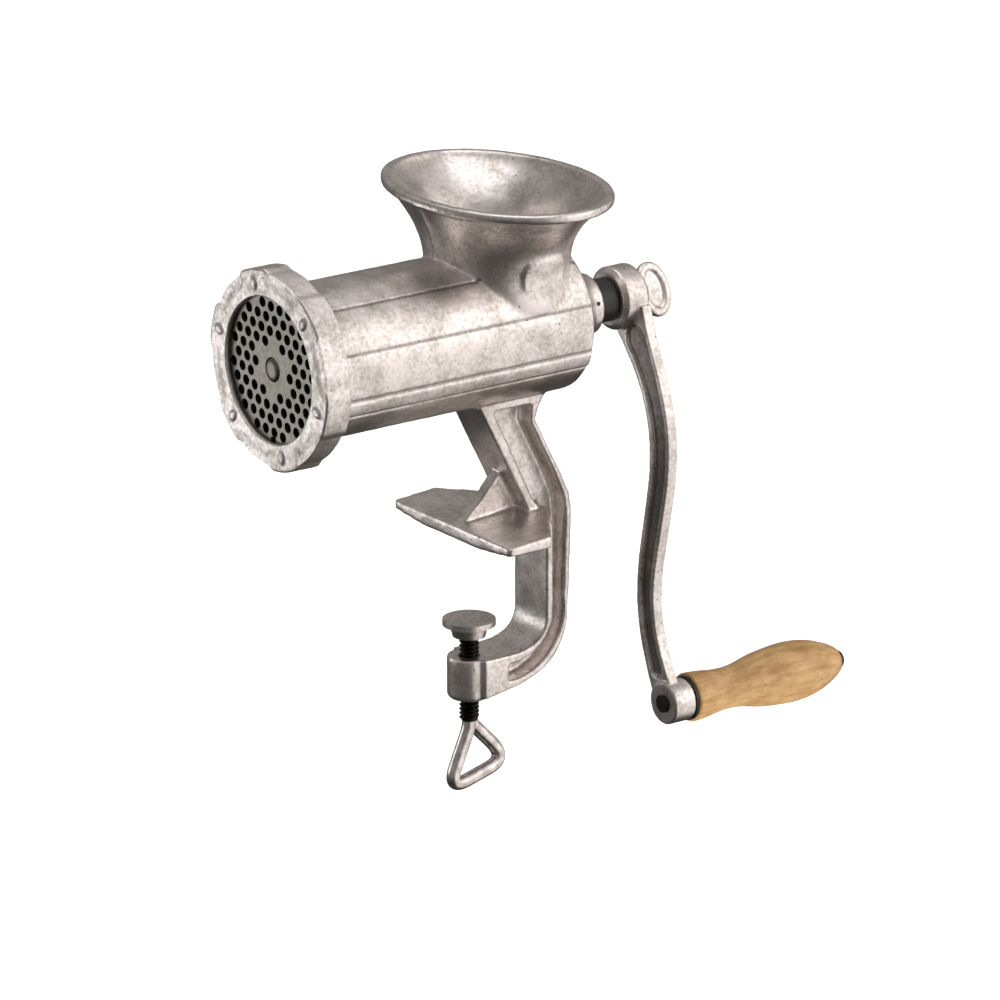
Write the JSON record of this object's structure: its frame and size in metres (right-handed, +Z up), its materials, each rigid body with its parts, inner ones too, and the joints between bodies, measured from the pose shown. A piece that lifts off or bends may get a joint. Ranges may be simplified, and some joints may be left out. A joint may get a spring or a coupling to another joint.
{
  "type": "hand crank meat grinder",
  "caption": "Table-clamped hand crank meat grinder: tinned iron body with bell hopper, perforated plate under a lugged ring nut, curved crank with wooden grip.",
  "frame": {"origin": "centre of the foot's bearing underside, on the axis of the clamp screw", "axes": "+Z up, barrel axis along Y with the outlet at -Y and the crank at +Y, +X to the right seen from the outlet's front"},
  "size_m": [0.1236, 0.2932, 0.279],
  "materials": {
    "tinned_iron": "hot-dip tinned cast iron, softly mottled, satin",
    "plate_steel": "ground carbon steel",
    "machined_steel": "turned and milled steel",
    "plated_wire": "bent steel rod, bright zinc plated",
    "black_nylon": "moulded black nylon",
    "white_nylon": "moulded natural nylon",
    "turned_wood": "turned hardwood, oiled",
    "dark_steel": "blackened steel"
  },
  "bodies": {
    "housing": {"body_casting": "tinned_iron", "plate_key_pin": "machined_steel", "rear_bush": "black_nylon", "bush_pin": "dark_steel"},
    "feed_screw": {"auger": "tinned_iron", "worm_stud": "machined_steel", "cutting_knife": "plate_steel", "thrust_washer": "white_nylon"},
    "crank": {"crank_arm": "tinned_iron", "grip_pin": "dark_steel", "grip_washer": "dark_steel", "grip_end_washer": "dark_steel", "thumb_screw_washer": "plated_wire"},
    "thumb_screw_body": {"thumb_screw": "tinned_iron"},
    "grip_body": {"wooden_grip": "turned_wood"},
    "plate_body": {"hole_plate": "plate_steel"},
    "ring_body": {"ring_nut": "tinned_iron"},
    "pad_body": {"clamp_pad": "tinned_iron", "pad_retaining_ring": "dark_steel"},
    "clamp_screw_body": {"clamp_screw": "plated_wire"}
  },
  "joints": [
    {"name": "feed_screw_turn", "type": "hinge", "parent": "housing", "child": "feed_screw", "pos_m": [0, 0, 0.095], "axis": [0, 1, 0], "continuous": true},
    {"name": "crank_slide", "type": "slide", "parent": "feed_screw", "child": "crank", "axis": [0, 1, 0], "range_m": [0, 0.012]},
    {"name": "thumb_screw_turn", "type": "hinge", "parent": "crank", "child": "thumb_screw_body", "pos_m": [0, 0, 0.095], "axis": [0, 1, 0], "range_deg": [0, 3457]},
    {"name": "grip_turn", "type": "hinge", "parent": "crank", "child": "grip_body", "pos_m": [0.035, 0.14, -0.088], "axis": [0, 1, 0], "continuous": true},
    {"name": "plate_slide", "type": "slide", "parent": "housing", "child": "plate_body", "axis": [0, -1, 0], "range_m": [0, 0.0095]},
    {"name": "ring_nut_turn", "type": "hinge", "parent": "plate_body", "child": "ring_body", "pos_m": [0, 0, 0.095], "axis": [0, -1, 0], "range_deg": [0, 1141]},
    {"name": "clamp_pad_slide", "type": "slide", "parent": "housing", "child": "pad_body", "axis": [0, 0, 1], "range_m": [-0.008, 0.01]},
    {"name": "clamp_screw_turn", "type": "hinge", "parent": "pad_body", "child": "clamp_screw_body", "pos_m": [0, 0, -0.06], "axis": [0, 0, 1], "range_deg": [-1441, 1801]}
  ],
  "couplings": [
    {"joint": "thumb_screw_turn", "follows": "crank_slide", "rad_per_m": 5026.5},
    {"joint": "ring_nut_turn", "follows": "plate_slide", "rad_per_m": 2094.4},
    {"joint": "clamp_screw_turn", "follows": "clamp_pad_slide", "rad_per_m": 3141.6}
  ]
}
